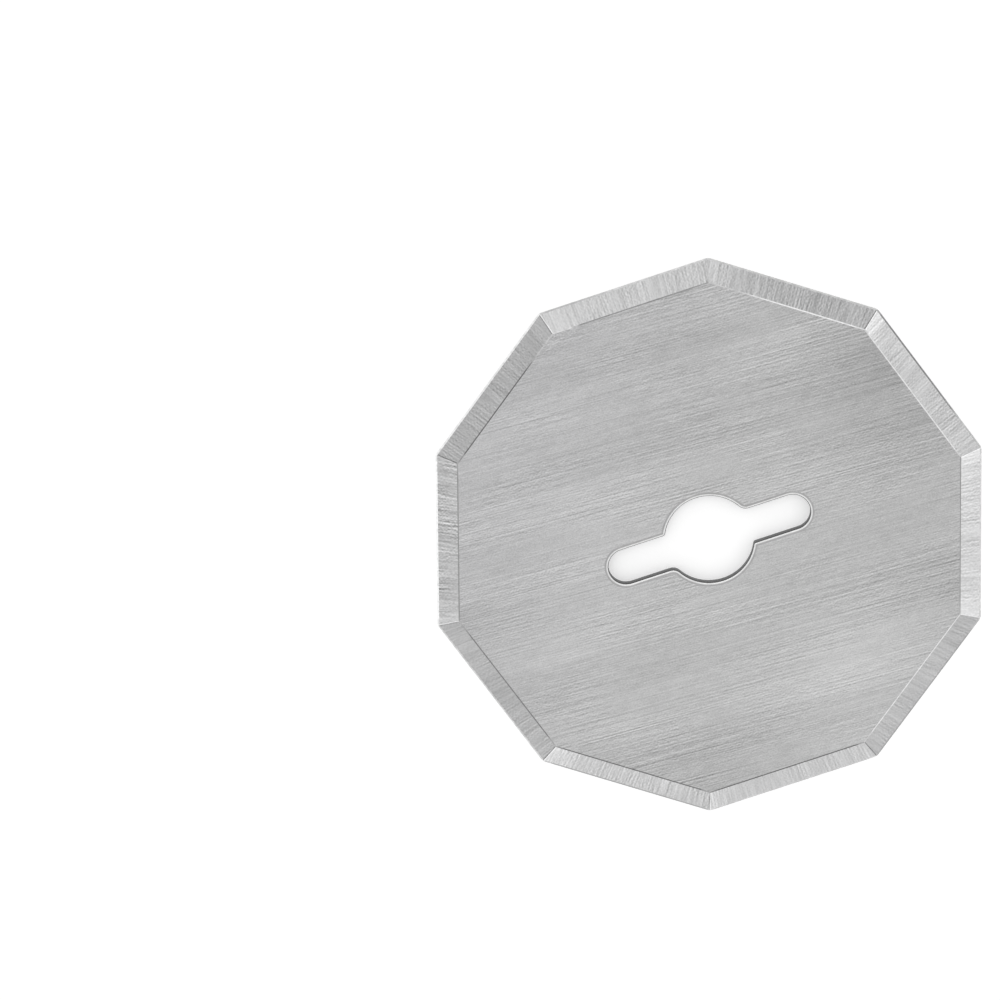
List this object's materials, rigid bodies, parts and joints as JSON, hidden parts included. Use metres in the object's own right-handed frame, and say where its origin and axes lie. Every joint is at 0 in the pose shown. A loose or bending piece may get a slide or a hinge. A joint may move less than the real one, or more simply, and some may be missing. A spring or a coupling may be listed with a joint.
{
  "type": "rotary cutter blade",
  "caption": "Decagonal steel cutting blade, ground to a bevel on one side, with a round bore and a drive slot for its hub.",
  "frame": {"origin": "on the bore's axis, in the plane of the flat underside", "axes": "+Z along the bore's axis towards the bevelled side; +X along the drive slot and through two opposite corners; +Y completes a right-handed frame"},
  "size_m": [0.032, 0.0304, 0.0006],
  "materials": {
    "blade_steel": "finely ground hardened steel: straight brush lines on the faces, cross-ground bevels"
  },
  "bodies": {
    "root": {"blade": "blade_steel"}
  },
  "joints": []
}
